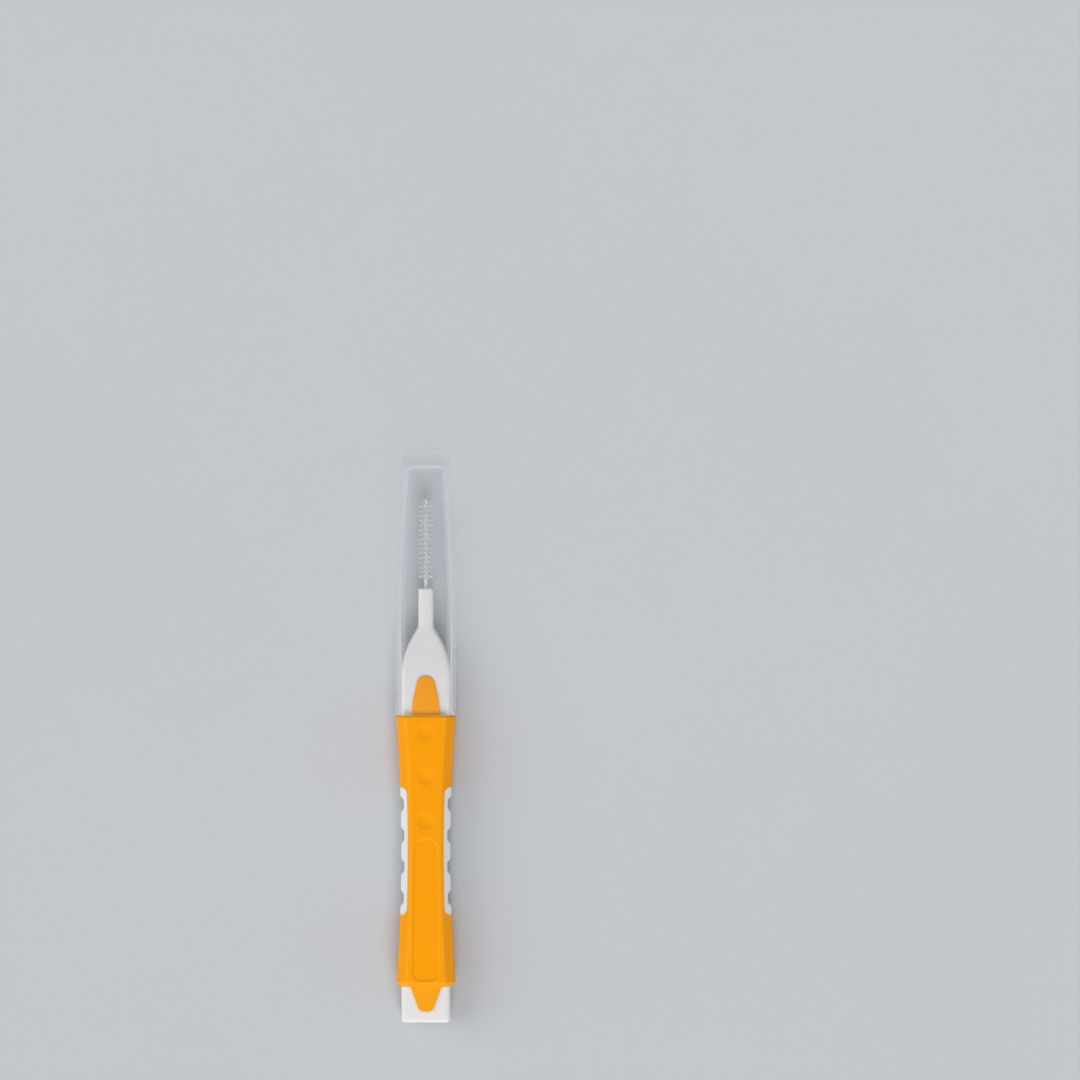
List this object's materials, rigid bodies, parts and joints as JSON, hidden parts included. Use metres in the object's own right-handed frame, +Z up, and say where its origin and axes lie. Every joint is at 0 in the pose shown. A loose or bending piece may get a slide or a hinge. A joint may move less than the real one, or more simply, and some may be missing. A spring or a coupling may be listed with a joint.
{
  "type": "interdental brush",
  "caption": "Interdental brush: white ribbed stem in a soft grip sleeve, twisted wire with radial bristles, and a clear push-on travel cap.",
  "frame": {"origin": "on the lower broad face, under the middle of the overall length and width, with the cap on", "axes": "+Y along the brush from the rear stub to the closed end of the cap, +Z up out of the upper broad face, +X across"},
  "size_m": [0.009, 0.085, 0.006],
  "materials": {
    "cap_clear": "clear moulded, slightly milky",
    "stem_white": "moulded, semi-gloss",
    "sleeve_orange": "soft-touch, satin",
    "wire_steel": "steel with a thin white coat",
    "bristle_nylon": "fine filaments"
  },
  "bodies": {
    "brush": {"stem": "stem_white", "grip_sleeve": "sleeve_orange", "twisted_wire": "wire_steel", "bristles": "bristle_nylon"},
    "cap": {"cap": "cap_clear"}
  },
  "joints": [
    {"name": "cap_slide", "type": "slide", "parent": "brush", "child": "cap", "axis": [0, 1, 0], "range_m": [0, 0.038]}
  ]
}
